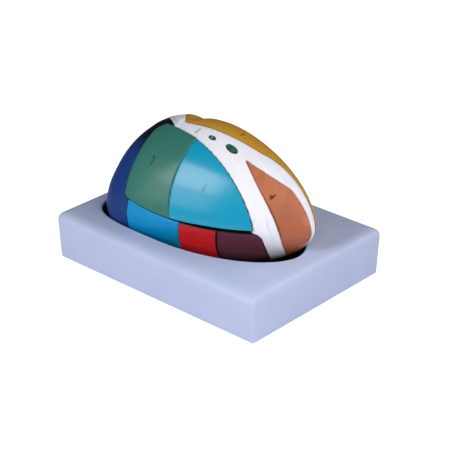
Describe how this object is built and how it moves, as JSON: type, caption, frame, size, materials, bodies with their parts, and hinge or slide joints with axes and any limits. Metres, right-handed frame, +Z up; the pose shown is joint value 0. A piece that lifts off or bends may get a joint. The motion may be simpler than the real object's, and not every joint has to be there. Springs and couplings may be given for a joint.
{
  "type": "thalamus anatomy model",
  "caption": "Enlarged teaching model of a thalamus with its colour-coded nuclei and white lamina, resting in the oval recess of a rectangular base.",
  "frame": {"origin": "middle of the underside of the base", "axes": "+X along the base towards the tapering front end of the thalamus, +Y towards the medial side, +Z up"},
  "size_m": [0.22, 0.16, 0.1204],
  "materials": {
    "base_plastic": "satin pale lavender moulded plastic",
    "navy_enamel": "glossy painted",
    "green_enamel": "glossy painted",
    "cyan_enamel": "glossy painted",
    "blue_enamel": "glossy painted",
    "red_enamel": "glossy painted",
    "maroon_enamel": "glossy painted",
    "white_enamel": "brushed-on white paint, half gloss",
    "ochre_enamel": "glossy painted",
    "terracotta_enamel": "glossy painted",
    "leaf_enamel": "glossy painted"
  },
  "bodies": {
    "root": {"base": "base_plastic", "pulvinar": "navy_enamel", "lateral_posterior_nucleus": "green_enamel", "lateral_dorsal_nucleus": "cyan_enamel", "ventral_posterior_nucleus": "blue_enamel", "ventral_lateral_nucleus": "red_enamel", "ventral_anterior_nucleus": "maroon_enamel", "medullary_lamina": "white_enamel", "medial_nucleus": "ochre_enamel", "anterior_nucleus": "terracotta_enamel", "centromedian_nucleus": "leaf_enamel", "parafascicular_nucleus": "leaf_enamel"}
  },
  "joints": []
}
